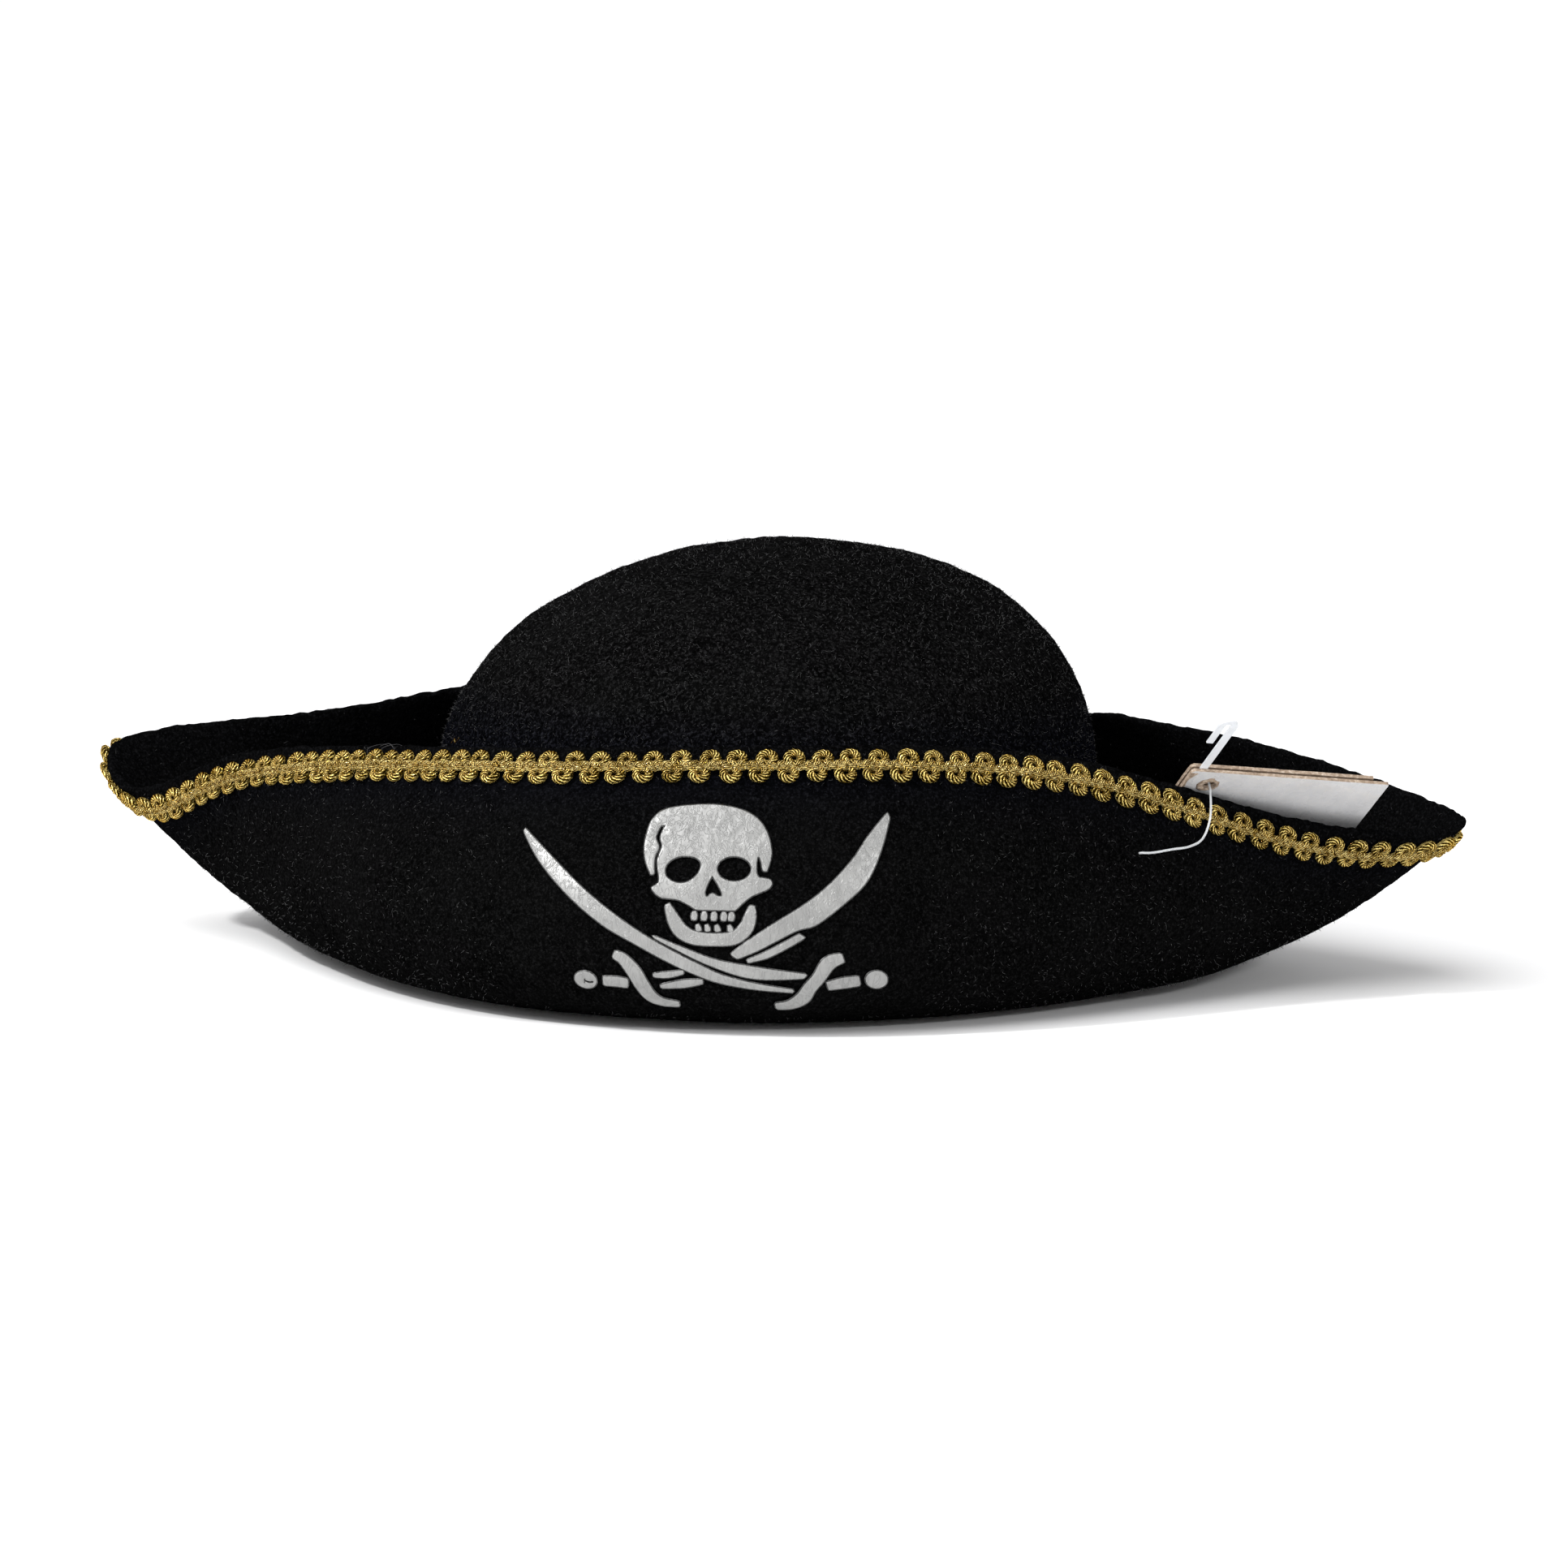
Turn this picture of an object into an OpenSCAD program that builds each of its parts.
// Three-cornered pirate hat: a felt crown sewn to a turned-up felt brim, gold gimp braid along
// the brim's edge, a silver film emblem on the front flap and a folded hang tag on a nylon pin.
// The origin is the centre of the head opening on the plane of the brim's underside.
// +Z is up, the front flap faces -Y and +X is the viewer's right from the front.
// Angles round the hat start at the front flap and grow towards +X.

/* [Crown] */
// Half of the crown's outside width
crown_half_w = 88; // [84:0.5:92]
// Half of the crown's outside depth
crown_half_d = 100.5; // [96:0.5:106]
// Height of the crown's top above the underside of the brim
crown_h = 113; // [100:1:130]
// Height at which the upright wall of the crown turns into the dome
crown_wall = 47.5; // [42:0.5:56]
// How far the soft top of the crown leans to the right
crown_lean = 7.5; // [0:0.5:10]
// Roundness of the dome's side view, where 2 is an ellipse
dome_power = 2.1; // [2:0.1:2.6]

/* [Felt] */
// Thickness of the felt
felt_t = 2.4; // [1.6:0.1:3.2]

/* [Brim] */
// Reach of the two side corners from the centre
side_reach = 186; // [175:1:200]
// Reach of the back corner from the centre
back_reach = 176; // [168:1:190]
// Distance of the front flap's edge from the centre
front_near = 112; // [108:1:120]
// Distance of the two back flaps' edges from the centre
back_near = 109; // [107:1:116]
// Height of the front flap's edge
front_h = 68.5; // [60:0.5:80]
// Mean height of the two back flaps' edges
back_h = 64; // [58:0.5:74]
// Mean height of the corners
corner_h = 44.5; // [40:0.5:54]
// Mean distance of the fold from the centre
fold_reach = 147; // [140:1:152]
// How much further out the front flap's fold lies than the back corner's
fold_forward = 33; // [24:1:36]
// How much higher the left corner stands than the mean of the two sides
left_rise = 3; // [0:0.5:6]

/* [Braid] */
// Width of the whole gimp braid
braid_w = 9.8; // [7:0.1:12]
// Width of its middle cords
core_w = 3; // [2:0.1:4]
// Thickness of the braid
braid_t = 1.3; // [0.8:0.1:2]
// Gap between the felt's cut edge and the braid
braid_gap = 1.2; // [0.5:0.1:3]

/* [Emblem] */
// Thickness of the silver film
film_t = 0.3; // [0.2:0.05:0.5]
// Sideways place of the emblem's centre line
emblem_x = 12; // [0:0.5:14]

/* [Lining] */
// Height of the sweatband
band_h = 32; // [24:1:38]
// Thickness of the sweatband
band_t = 0.9; // [0.6:0.1:1.5]

/* [Tag] */
// Width of the folded card
card_w = 55; // [50:1:58]
// Height of the folded card
card_h = 40; // [30:1:41]
// Thickness of each leaf of the card
leaf_t = 0.9; // [0.6:0.1:1.2]
// Radius of the punched hole
hole_r = 1.7; // [1.2:0.1:2]

/* [Hidden] */

// Brim: flat ring round the head opening, then a rounded fold up to the edge
ring_w = 8;
side_angle = 92;
corner_round = 7;
straight_sum = 30;
corner_spread = 97;
corner_fold_h = 5;
corner_fold_spread = 60;
flap_weight = 0.95;
corner_weight = 2.05;
weight_angle = 70;
weight_spread = 8;
front_step = 5;
back_step = -4.5;
left_spread = 26;
right_spread = 65;
left_lip = [-10, 3.2];
right_lip = [-5.2, 6];
hole_w = crown_half_w - felt_t;
hole_d = crown_half_d - felt_t;

// Facets
brim_steps = 10;
front_cols = 44;
back_cols = 32;
crown_cols = 60;
dome_rows = 9;

function wrap(a) = a - 360 * floor((a + 180) / 360);
function clamp(v, low, high) = min(max(v, low), high);
function unit(v) = v / norm(v);
function mix(a, b, f) = a + (b - a) * f;
function ray(phi, r) = [r * sin(phi), -r * cos(phi)];
function ellipse_r(phi, half_w, half_d) = 1 / sqrt(pow(sin(phi) / half_w, 2) + pow(cos(phi) / half_d, 2));

// Plan of one flap: straight runs from both corners that touch or cross near the crown
function flap_r(phi, from, from_r, to, to_r, near) =
    let (start = from + acos(near / from_r), stop = to - acos(near / to_r),
         first = phi < start ? near / cos(min(start - phi, 85)) : near,
         second = phi > stop ? near / cos(min(phi - stop, 85)) : near)
    pow(pow(first, straight_sum) + pow(second, straight_sum), 1 / straight_sum);

// Plan of the whole hat: the front flap and the two back flaps joined by rounded corners
function plan_r(phi) =
    let (a = abs(phi), k = corner_round, grow = pow(2, 1 / k),
         side_r = side_reach * grow, rear_r = back_reach * grow)
    pow(pow(flap_r(phi, -side_angle, side_r, side_angle, side_r, front_near), -k)
        + pow(flap_r(a, side_angle, side_r, 180, rear_r, back_near), -k)
        + pow(flap_r(360 - a, side_angle, side_r, 180, rear_r, back_near), -k), -1 / k);

// How close a distance is to nothing, from 1 down to 0
function closeness(distance, spread) = exp(-pow(distance / spread, 2));

// Bend of the edge beside a corner: nothing at the corner, 1 at the spread, then fading
function beside(distance, spread) = distance / spread * exp(0.5 - 0.5 * pow(distance / spread, 2));

// The fold lies far out under the front flap and closer in round the back
function fold_r(phi) =
    fold_reach + fold_forward * (0.36 * cos(phi) + 0.09 * cos(2 * phi) + 0.14 * cos(3 * phi));

// The fold is soft under the front flap and tight round the corners and the back
function fold_weight(phi) =
    flap_weight + (corner_weight - flap_weight) / (1 + exp((weight_angle - abs(phi)) / weight_spread));

// Profile of the brim at one angle: [base, fold, edge, weight of the fold]
function profile(angle) =
    let (phi = wrap(angle), front = abs(phi) <= side_angle, pick = front ? 0 : 1,
         edge = ray(phi, plan_r(phi)),
         fold = ray(phi, fold_r(phi)),
         base = ray(phi, ellipse_r(phi, hole_w + 2 + ring_w, hole_d + 2 + ring_w)),
         side = clamp(1.2 * sin(phi), -1, 1),
         to_left = norm(edge - ray(-side_angle, side_reach)),
         to_right = norm(edge - ray(side_angle, side_reach)),
         to_side = min(to_left, to_right),
         to_corner = min(to_side, norm(edge - ray(180, back_reach))),
         flap_z = front ? front_h + front_step * side : back_h + back_step * side,
         corner_z = corner_h - left_rise * side,
         z = mix(flap_z, corner_z, closeness(to_corner, corner_spread))
             + left_lip[pick] * beside(to_left, left_spread)
             + right_lip[pick] * beside(to_right, right_spread))
    [[base[0], base[1], 0],
     [fold[0], fold[1], corner_fold_h * closeness(to_side, corner_fold_spread)],
     [edge[0], edge[1], z],
     fold_weight(phi)];

// Point of a profile between its base, t = 0, and its edge, t = 1
function on_profile(p, t) =
    let (a = pow(1 - t, 2), b = 2 * t * (1 - t) * p[3], c = t * t)
    (a * p[0] + b * p[1] + c * p[2]) / (a + b + c);

function outer_point(phi, t) = on_profile(profile(phi), t);

// Outward normal of the brim's outer face
function outer_normal(phi, t) =
    let (across = outer_point(phi + 0.5, t) - outer_point(phi - 0.5, t),
         up = outer_point(phi, min(t + 0.02, 1)) - outer_point(phi, t - 0.02))
    unit(cross(across, up));

// Place on the profile at a distance below the edge
function below_edge(p, s) = 1 - s / (2 * p[3] * norm(p[2] - p[1]));

// Angles of the columns, closer together near the corners
function spread_out(from, to, n) =
    let (mid = (from + to) / 2, half = (to - from) / 2)
    [for (i = [0:n - 1]) let (u = 2 * i / n - 1) mid + half * (0.45 * u + 0.55 * sin(90 * u))];
COLS = concat(spread_out(-side_angle, side_angle, front_cols),
              spread_out(side_angle, 180, back_cols),
              spread_out(180, 360 - side_angle, back_cols));
n_cols = len(COLS);

// Closed solid from rows of points, each row a closed ring; the last row joins the first
module ring_solid(rows) {
    n = len(rows);
    m = len(rows[0]);
    points = [for (r = rows) for (p = r) p];
    faces = [for (i = [0:n - 1]) for (j = [0:m - 1])
             let (a = i * m + j, b = i * m + (j + 1) % m,
                  c = ((i + 1) % n) * m + (j + 1) % m, d = ((i + 1) % n) * m + j)
             each [[a, b, c], [a, c, d]]];
    polyhedron(points, faces, convexity = 10);
}

// Closed solid between a lower and an upper grid of points of the same size
module slab(low, high) {
    n = len(low);
    m = len(low[0]);
    size = n * m;
    points = concat([for (r = low) for (p = r) p], [for (r = high) for (p = r) p]);
    rim = concat([for (j = [0:m - 1]) j], [for (i = [1:n - 1]) i * m + m - 1],
                 [for (j = [m - 2:-1:0]) (n - 1) * m + j], [for (i = [n - 2:-1:1]) i * m]);
    faces = concat(
        [for (i = [0:n - 2]) for (j = [0:m - 2])
         let (a = i * m + j) each [[a, a + m + 1, a + 1], [a, a + m, a + m + 1]]],
        [for (i = [0:n - 2]) for (j = [0:m - 2])
         let (a = size + i * m + j) each [[a, a + 1, a + m + 1], [a, a + m + 1, a + m]]],
        [for (k = [0:len(rim) - 1])
         let (a = rim[k], b = rim[(k + 1) % len(rim)])
         each [[a, b, size + b], [a, size + b, size + a]]]);
    polyhedron(points, faces, convexity = 10);
}

// ---- Felt ----

module brim() {
    profiles = [for (phi = COLS) profile(phi)];
    rows_out = [for (i = [0:brim_steps]) let (t = pow(i / brim_steps, 0.9))
                [for (p = profiles) on_profile(p, t)]];
    function normal_at(i, j) =
        let (across = rows_out[i][(j + 1) % n_cols] - rows_out[i][(j - 1 + n_cols) % n_cols],
             up = rows_out[min(i + 1, brim_steps)][j] - rows_out[max(i - 1, 0)][j])
        unit(cross(across, up));
    rows_in = [for (i = [1:brim_steps])
               [for (j = [0:n_cols - 1]) rows_out[i][j] - felt_t * normal_at(i, j)]];
    hole = [for (phi = COLS) let (r = ellipse_r(phi, hole_w, hole_d)) [r * sin(phi), -r * cos(phi), 0]];
    hole_up = [for (p = hole) p + [0, 0, felt_t]];
    base_up = [for (p = rows_out[0]) p + [0, 0, felt_t]];
    rows = concat([hole], rows_out, [for (i = [brim_steps - 1:-1:0]) rows_in[i]], [base_up], [hole_up]);
    color("#16161a") ring_solid(rows);
}

// One ring of the crown at height fraction f of the dome, 0 at the wall's top, shrunk by inset
function dome_ring(angle_up, inset) =
    let (across = pow(cos(angle_up), 2 / dome_power), up = pow(sin(angle_up), 2 / dome_power))
    [for (k = [0:crown_cols - 1])
     let (phi = 360 * k / crown_cols)
     [(crown_half_w - inset) * across * sin(phi) + crown_lean * pow(up, 1.5),
      -(crown_half_d - inset) * across * cos(phi),
      crown_wall + (crown_h - crown_wall - inset) * up]];

function wall_ring(z, inset) =
    [for (k = [0:crown_cols - 1])
     let (phi = 360 * k / crown_cols)
     [(crown_half_w - inset) * sin(phi), -(crown_half_d - inset) * cos(phi), z]];

module crown() {
    ups = [for (k = [1:dome_rows]) 86 * k / dome_rows];
    outer = concat([wall_ring(felt_t, 0), wall_ring(crown_wall, 0)], [for (u = ups) dome_ring(u, 0)]);
    inner = concat([wall_ring(felt_t, felt_t), wall_ring(crown_wall, felt_t)],
                   [for (u = ups) dome_ring(u, felt_t)]);
    n = len(outer);
    m = crown_cols;
    size = n * m;
    points = concat([for (r = outer) for (p = r) p], [for (r = inner) for (p = r) p],
                    [[crown_lean, 0, crown_h], [crown_lean, 0, crown_h - felt_t]]);
    faces = concat(
        [for (i = [0:n - 2]) for (j = [0:m - 1])
         let (a = i * m + j, b = i * m + (j + 1) % m)
         each [[a, a + m, b + m], [a, b + m, b], [size + a, size + b, size + b + m],
               [size + a, size + b + m, size + a + m]]],
        [for (j = [0:m - 1])
         let (k = (j + 1) % m, top = (n - 1) * m)
         each [[top + j, 2 * size, top + k], [size + top + j, size + top + k, 2 * size + 1],
               [j, k, size + k], [j, size + k, size + j]]]);
    color("#1d1d21") polyhedron(points, faces, convexity = 6);
}

// ---- Sewing and lining ----

// Short stitches round an oval, each lying along it
module stitches(half_w, half_d, z, n, size) {
    for (k = [0:n - 1]) {
        phi = 360 * (k + 0.5) / n;
        r = ellipse_r(phi, half_w, half_d);
        along = atan2(half_d * half_d * sin(phi), half_w * half_w * cos(phi));
        translate([r * sin(phi), -r * cos(phi), z]) rotate([0, 0, along]) cube(size, center = true);
    }
}

module crown_seam() {
    color("#0c0c0e") stitches(crown_half_w + 0.6, crown_half_d + 0.6, felt_t + 1.6, 72, [4, 0.7, 0.7]);
}

module oval_band(half_w, half_d, thick, height) {
    outer = [for (k = [0:crown_cols - 1]) let (a = 360 * k / crown_cols) [half_w * sin(a), -half_d * cos(a)]];
    inner = [for (k = [0:crown_cols - 1])
             let (a = 360 * k / crown_cols) [(half_w - thick) * sin(a), -(half_d - thick) * cos(a)]];
    linear_extrude(height = height) difference() {
        polygon(outer);
        polygon(inner);
    }
}

module sweatband() {
    color("#26262b") translate([0, 0, felt_t])
        oval_band(hole_w - 0.2, hole_d - 0.2, band_t, band_h);
}

module sweatband_stitches() {
    color("#3a3a40") stitches(hole_w - band_t - 0.9, hole_d - band_t - 0.9,
                              felt_t + 4, 64, [4, 0.5, 0.5]);
}

// Blank folded label on the sweatband at the back
module size_label() {
    color("white") translate([0, hole_d - band_t - 1.4, felt_t + 18])
        cube([16, 0.6, 22], center = true);
}

// ---- Braid ----

braid_lift = 0.35;

// Closed strip along the brim's edge, from s0 to s1 below the edge on the outer face
module edge_strip(s0, s1, thick) {
    profiles = [for (phi = COLS) profile(phi)];
    function place(j, s, lift) =
        let (p = profiles[j], t = below_edge(p, s)) on_profile(p, t) + lift * outer_normal(COLS[j], t);
    rows = [for (q = [[s0, braid_lift], [s1, braid_lift], [s1, braid_lift + thick], [s0, braid_lift + thick]])
            [for (j = [0:n_cols - 1]) place(j, q[0], q[1])]];
    ring_solid([for (k = [3:-1:0]) rows[k]]);
}

scroll_w = (braid_w - core_w) / 2;
strip_gap = 0.3;

module braid_upper_scrolls() {
    color("#c79a1e") edge_strip(braid_gap, braid_gap + scroll_w, braid_t);
}

module braid_core() {
    color("#e8c040") edge_strip(braid_gap + scroll_w + strip_gap, braid_gap + scroll_w + core_w - strip_gap,
                                braid_t + 0.4);
}

module braid_lower_scrolls() {
    color("#c79a1e") edge_strip(braid_gap + scroll_w + core_w, braid_gap + braid_w, braid_t);
}

// ---- Emblem ----
// It is drawn in millimetres from its own centre line, with heights above the table, and
// carried straight back onto the curved front flap.

// Place on the profile where its height is z
function height_t(p, z, low = 0.1, high = 1, n = 14) =
    let (t = (low + high) / 2)
    n == 0 ? t : on_profile(p, t)[2] < z ? height_t(p, z, t, high, n - 1) : height_t(p, z, low, t, n - 1);

// Angle and place on the profile of the outer face's point at x and height z
function seek(x, z, phi, n = 4) =
    let (p = profile(phi), t = height_t(p, z))
    let (q = on_profile(p, t))
    n == 0 ? [phi, t] : seek(x, z, asin(clamp(x / norm([q[0], q[1]]), -0.9, 0.9)), n - 1);

function film_point(a, z, lift) =
    let (q = seek(emblem_x + a, z - 0.3, (emblem_x + a) / 2.3))
    outer_point(q[0], q[1]) + lift * outer_normal(q[0], q[1]);

film_gap = 0.25;

// Smooth open curve through a few points
function curve(p, n) =
    let (last = len(p) - 1)
    concat([for (i = [0:last - 1]) for (k = [0:n - 1])
     let (u = k / n, a = p[max(i - 1, 0)], b = p[i], c = p[i + 1], d = p[min(i + 2, last)])
     0.5 * (2 * b + (c - a) * u + (2 * a - 5 * b + 4 * c - d) * u * u + (3 * b - a - 3 * c + d) * u * u * u)],
     [p[last]]);

// Film between two curves drawn from the same end to the same end
module film_between(upper, lower, n = 3, across = 1) {
    high = curve(upper, n);
    low = curve(lower, n);
    function sheet(lift) =
        [for (k = [0:across]) [for (i = [0:len(high) - 1])
         let (q = mix(low[i], high[i], k / across)) film_point(q[0], q[1], lift)]];
    slab(sheet(film_gap), sheet(film_gap + film_t));
}

// Ribbon of film along a middle line; each point is [across, height, half width]
module film_ribbon(line, n = 3) {
    mid = curve(line, n);
    last = len(mid) - 1;
    function side(i, way) =
        let (d = mid[min(i + 1, last)] - mid[max(i - 1, 0)], len_d = norm([d[0], d[1]]))
        [mid[i][0] - way * d[1] / len_d * mid[i][2], mid[i][1] + way * d[0] / len_d * mid[i][2]];
    upper = [for (i = [0:last]) side(i, 1)];
    lower = [for (i = [0:last]) side(i, -1)];
    film_between(upper, lower, 1);
}

module silver() {
    color("#d8d8d6") children();
}

// Cranium from the left temple over the top to the right temple
SKULL_TOP = [[-13.5, 39.5], [-15.3, 43], [-15.8, 47], [-14.6, 52], [-10.5, 54.6], [0, 55.7],
             [8, 54.3], [12.6, 51], [15, 45.5], [14.5, 41]];
// Notch of the right temple, cheeks and upper jaw, and the crack at the left temple
SKULL_LOW = [[13.8, 41], [12.8, 44], [11.8, 44], [12, 40.5], [12.8, 39.2], [15.6, 38.7], [15.4, 37],
             [11.2, 35], [7.8, 31.8], [-1.6, 31.8], [-3.4, 32.8], [-6.4, 34], [-10.6, 34.4], [-13, 36.2],
             [-11.2, 37.8], [-12.1, 43], [-11.4, 46], [-12.1, 48], [-11.2, 50.8], [-12.6, 50.8],
             [-13.5, 48], [-12.5, 45.7], [-13.3, 43.2], [-12.9, 39.5]];

module oval_hole(a, z, half_w, half_h) {
    translate([a, z]) scale([half_w, half_h]) circle(r = 1, $fn = 24);
}

module emblem_skull() {
    outline = concat(curve(SKULL_TOP, 3), SKULL_LOW);
    lifts = [film_gap, film_gap + film_t];
    function patch(lift) =
        [for (z = [28:4:60]) [for (a = [-18:4:18]) film_point(a, z, lift)]];
    silver() intersection() {
        slab(patch(lifts[0]), patch(lifts[1]));
        translate([emblem_x, -90, 0]) rotate([90, 0, 0]) linear_extrude(height = 70) difference() {
            polygon(outline);
            oval_hole(-5.8, 40.8, 4.5, 3.3);
            oval_hole(6.7, 41.3, 4.3, 3.1);
            polygon([[1.6, 39.8], [4.7, 35], [3.4, 34.7], [2, 35.4], [0.8, 34.4], [0, 35.6]]);
        }
    }
}

module emblem_jaw() {
    silver() film_ribbon([[-8.7, 32.5, 0.5], [-7, 29.2, 1.3], [-4.8, 26.4, 1.5], [-1.5, 24.9, 1.4],
                          [3.4, 24.6, 1.3], [8, 25.1, 1.4], [10.7, 27.4, 1.5], [11.6, 30.3, 1.2],
                          [11.8, 32.7, 0.5]]);
}

module emblem_teeth() {
    silver() {
        for (a = [-2, 0.4, 2.8, 5.2, 7])
            film_ribbon([[a, 31.1, 0.3], [a, 30.2, 0.6], [a, 29.3, 0.5]], 2);
        for (a = [-0.7, 1.5, 3.9, 7])
            film_ribbon([[a, 28, 0.3], [a, 27.3, 0.5], [a, 26.7, 0.5]], 2);
    }
}

module emblem_blade_front() {
    silver() {
        film_between([[-48, 47.8], [-40, 42], [-30.5, 35], [-21.5, 29.2], [-13, 24.4], [-6.5, 21.2],
                      [-0.5, 18.4], [5.5, 15.8], [13, 13.9], [22, 12.3]],
                     [[-48.2, 47.3], [-43, 41], [-34.5, 33.7], [-25, 27.3], [-16.2, 23], [-9, 19.5],
                      [-2.5, 16.6], [4, 14.3], [12, 12.8], [21.8, 11.8]], 2);
        film_between([[-11.8, 25], [-4.5, 22.4], [3.5, 19.7], [13, 18], [25.2, 16.2]],
                     [[-11.2, 24.5], [-5.5, 21.9], [2.5, 18.4], [12.5, 15.4], [24.4, 15.4]]);
    }
}

module emblem_blade_back() {
    silver() {
        film_between([[41, 53.9], [37.5, 48.8], [34.3, 43.2], [29.3, 37.2], [24, 32.8], [16.7, 28],
                      [11, 24], [7.5, 21.2]],
                     [[41.5, 52.8], [40.5, 46], [38.4, 39.3], [35, 35], [27.5, 28.7], [22.5, 27],
                      [14, 22.4], [9, 20.2]], 2);
        film_between([[23.4, 26], [18.8, 23.4], [15, 21.4], [11.4, 19.8]],
                     [[24.6, 25.3], [20.5, 22.8], [16, 20.5], [11.6, 19.3]]);
    }
}

module emblem_blade_stubs() {
    silver() {
        film_ribbon([[-11.5, 15.3, 0.3], [-8, 15.6, 0.6], [-4.2, 16.4, 0.3]], 2);
        film_ribbon([[-9.8, 12.5, 0.3], [-4, 13.5, 0.8], [0.4, 14.2, 0.4]], 2);
    }
}

module emblem_guard_left() {
    silver() film_ribbon([[-21.5, 20, 0.8], [-19.2, 19, 1.2], [-16.5, 16, 1.6], [-14.6, 12.7, 1.6],
                          [-12.7, 9.9, 1.4], [-10, 8.4, 0.9], [-6, 8, 0.6]]);
}

module emblem_guard_right() {
    silver() film_ribbon([[33.5, 20.3, 1], [30.4, 19, 1.5], [28.1, 15.5, 1.3], [25.9, 12.9, 1.3],
                          [24, 10.2, 1.4], [20.8, 8.4, 1], [17.5, 8, 0.7]]);
}

module emblem_grip_left() {
    silver() film_ribbon([[-24.3, 13.2, 1], [-21, 13.2, 1.1], [-18.3, 12.9, 1]], 2);
}

module emblem_grip_right() {
    silver() film_ribbon([[30.1, 13.3, 0.9], [33.8, 14, 1.2], [37.2, 14.4, 1.1]], 2);
}

// Round end of a hilt
module film_disc(a, z, r) {
    silver() film_ribbon([for (k = [-4:4]) [a + r * sin(k * 20), z, r * cos(k * 20) + 0.05]], 1);
}

module emblem_pommel_left() {
    film_disc(-29, 13.2, 2.4);
}

module emblem_pommel_right() {
    film_disc(41.2, 14.6, 2.3);
}

// ---- Hang tag ----
// The folded card leans outwards over the front flap's edge, with its lower end in the right
// gutter. It is drawn with X along its top fold, Y down its face and Z up through its leaves.

CARD_CORNER = [121.7, -57.2, 60.8];
CARD_ALONG = [0.859, 0.504, -0.09];
CARD_DOWN = [-0.447, 0.652, -0.613];
hole_along = 7;
hole_down = 6;
hook_t = 0.5;
back_short = 4;
back_leaf_z = leaf_t + hook_t + 0.1;
paddle_z = back_leaf_z + leaf_t + 1;
card_x = unit(CARD_ALONG);
card_z = unit(cross(CARD_ALONG, CARD_DOWN));
card_y = cross(card_z, card_x);

function card_point(x, y, z) = CARD_CORNER + x * card_x + y * card_y + z * card_z;

module on_card() {
    multmatrix([[card_x[0], card_y[0], card_z[0], CARD_CORNER[0]],
                [card_x[1], card_y[1], card_z[1], CARD_CORNER[1]],
                [card_x[2], card_y[2], card_z[2], CARD_CORNER[2]],
                [0, 0, 0, 1]]) children();
}

// One leaf of the card with its punched hole
module leaf(level, width) {
    on_card() difference() {
        translate([0, 0, level]) cube([width, card_h, leaf_t]);
        translate([hole_along, hole_down, level - 1]) cylinder(r = hole_r, h = leaf_t + 2, $fn = 48);
    }
}

module tag_front_leaf() {
    color("#f2f2ee") leaf(0, card_w);
}

module tag_back_leaf() {
    color("#b39b78") leaf(back_leaf_z, card_w - back_short);
}

// Clear hanging hook laminated between the leaves
module tag_hook() {
    shank = 3.2;
    shank_w = 2;
    top = -20;
    bend_r = 2.6;
    color("#dfe8ee") on_card() translate([0, 0, leaf_t]) linear_extrude(height = hook_t) {
        translate([shank - shank_w / 2, top]) square([shank_w, 4.5 - top]);
        translate([shank + shank_w / 2 - bend_r, top]) difference() {
            circle(r = bend_r, $fn = 40);
            circle(r = bend_r - shank_w + 0.3, $fn = 40);
            translate([-bend_r - 1, 0]) square([2 * bend_r + 2, bend_r + 1]);
        }
        translate([shank + shank_w / 2 - 2 * bend_r, top]) square([shank_w - 0.3, 8]);
    }
}

// Tube with rings square to a line of points, its frame carried along without twist
function carried(tangents, i, side) =
    i >= len(tangents) ? [] :
    let (t = tangents[i], s = unit(side - t * (side * t))) concat([[s, cross(t, s)]], carried(tangents, i + 1, s));

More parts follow.
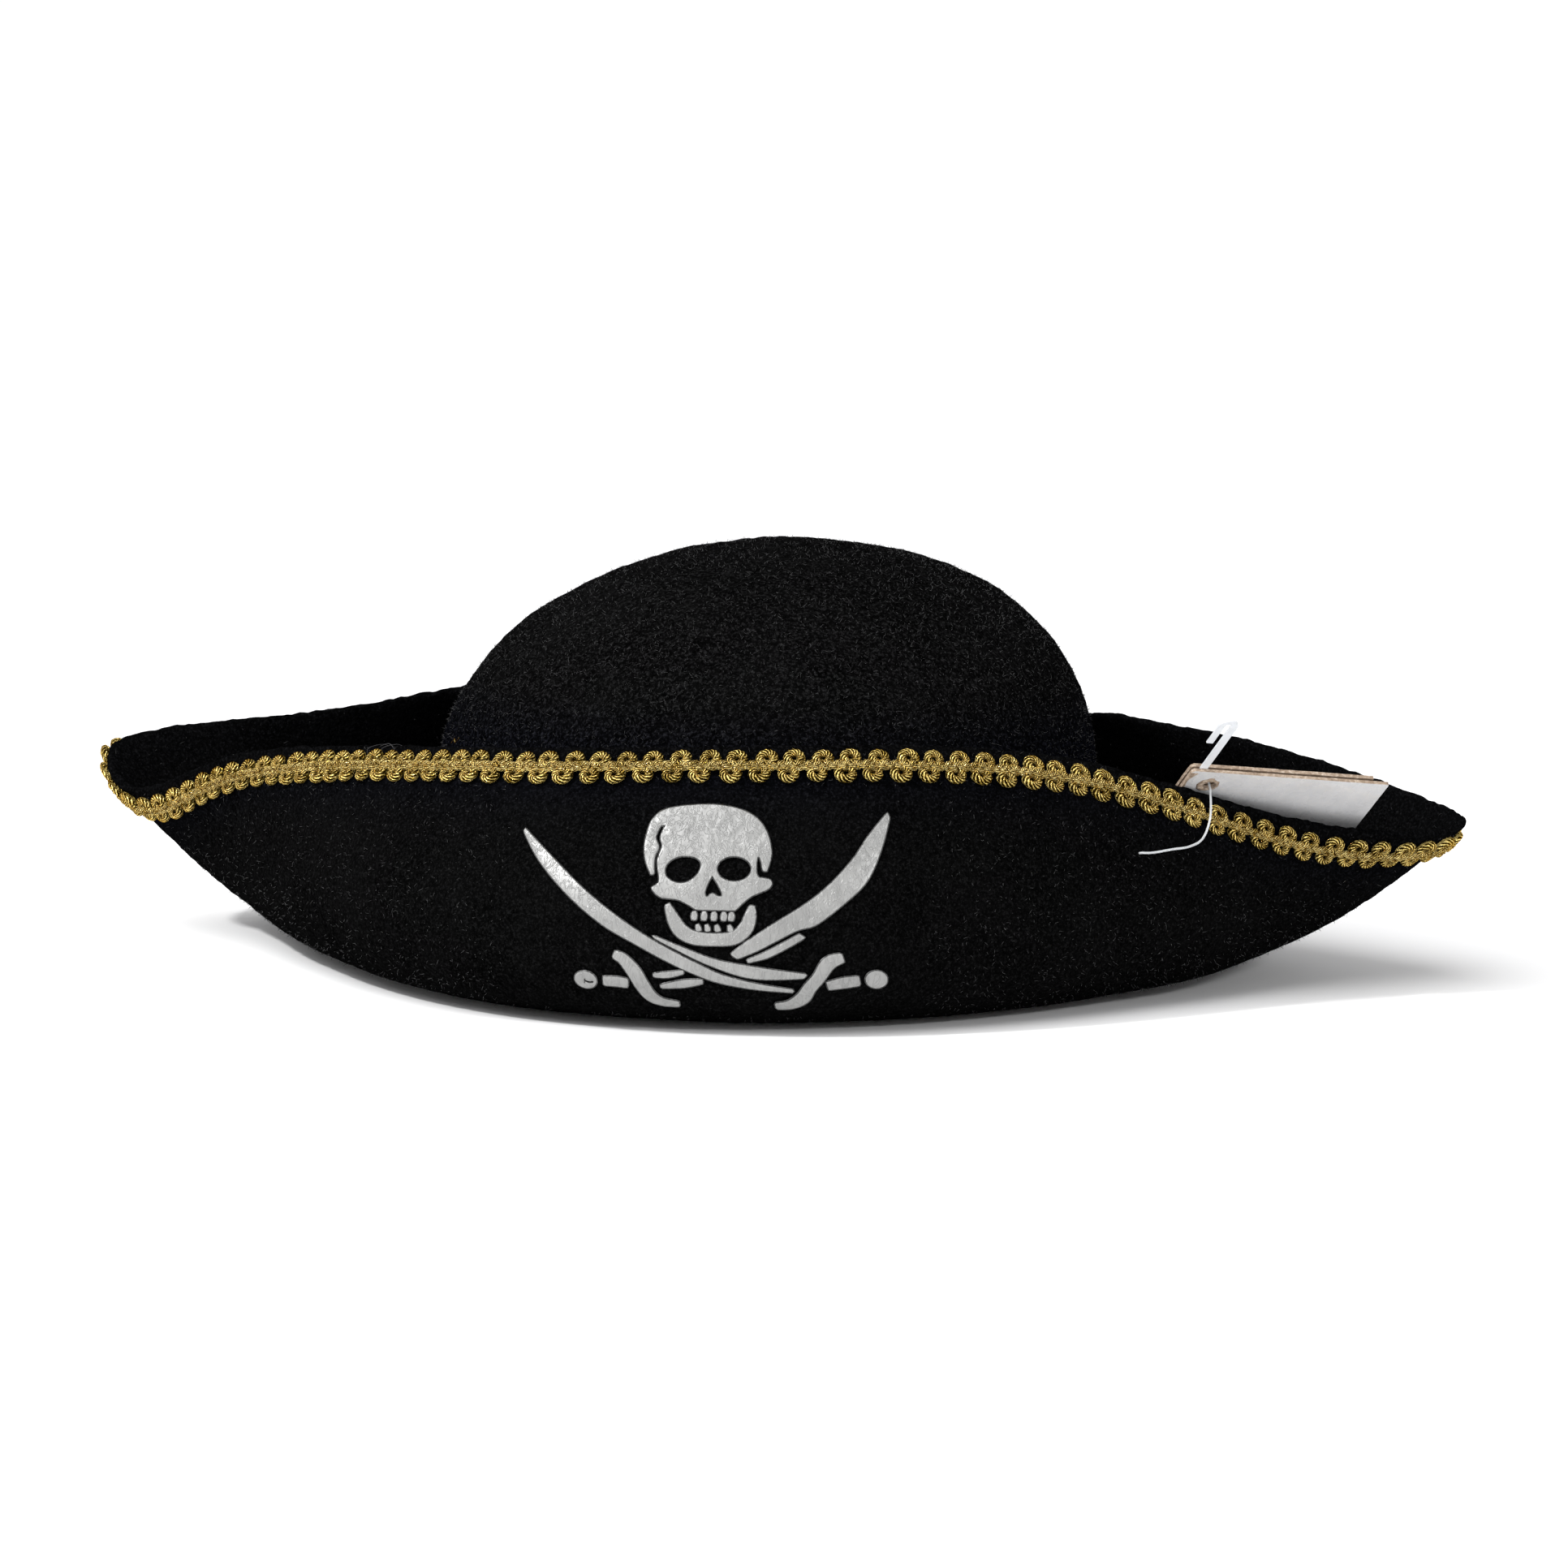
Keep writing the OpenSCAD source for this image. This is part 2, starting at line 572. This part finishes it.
module tube(line, r, sides = 8) {
    last = len(line) - 1;
    tangents = [for (i = [0:last]) unit(line[min(i + 1, last)] - line[max(i - 1, 0)])];
    frames = carried(tangents, 0, [0.3, 0.2, 1]);
    points = [for (i = [0:last]) for (k = [0:sides - 1])
              let (a = 360 * k / sides) line[i] + r * (cos(a) * frames[i][0] + sin(a) * frames[i][1])];
    faces = concat(
        [for (i = [0:last - 1]) for (k = [0:sides - 1])
         let (a = i * sides + k, b = i * sides + (k + 1) % sides)
         each [[a, b + sides, b], [a, a + sides, b + sides]]],
        [[for (k = [0:sides - 1]) k]],
        [[for (k = [sides - 1:-1:0]) last * sides + k]]);
    polyhedron(points, faces, convexity = 6);
}

// Nylon pin: bar behind the felt, filament over the braid and through the card, end paddle
pin_phi = 58.3;
pin_t = 0.835;
filament_r = 0.3;

function off_flap(phi, t, lift) = outer_point(phi, t) + lift * outer_normal(phi, t);

module tag_pin() {
    behind = off_flap(pin_phi, pin_t, -felt_t - 0.6);
    line = [behind, off_flap(pin_phi, pin_t, 0.4), off_flap(59.5, 0.84, 1.6), off_flap(62, 0.86, 2.6),
            off_flap(64.3, 0.88, 3), off_flap(66.2, 0.91, 3), off_flap(67.6, 0.96, 2.8),
            card_point(hole_along, hole_down, -1.8), card_point(hole_along, hole_down, -0.8),
            card_point(hole_along, hole_down, paddle_z)];
    n = outer_normal(pin_phi, pin_t);
    along = unit(cross(n, [0, 0, 1]));
    color("#e6ecf0") {
        tube(curve(line, 3), filament_r);
        tube([behind - 4.5 * along, behind + 4.5 * along], 0.5);
        on_card() translate([hole_along, hole_down, paddle_z]) cube([7, 2.6, 0.7], center = true);
    }
}

crown();
brim();
crown_seam();
sweatband();
sweatband_stitches();
size_label();
braid_core();
braid_upper_scrolls();
braid_lower_scrolls();
emblem_skull();
emblem_jaw();
emblem_teeth();
emblem_blade_front();
emblem_blade_back();
emblem_blade_stubs();
emblem_guard_left();
emblem_guard_right();
emblem_grip_left();
emblem_grip_right();
emblem_pommel_left();
emblem_pommel_right();
tag_front_leaf();
tag_back_leaf();
tag_pin();
tag_hook();
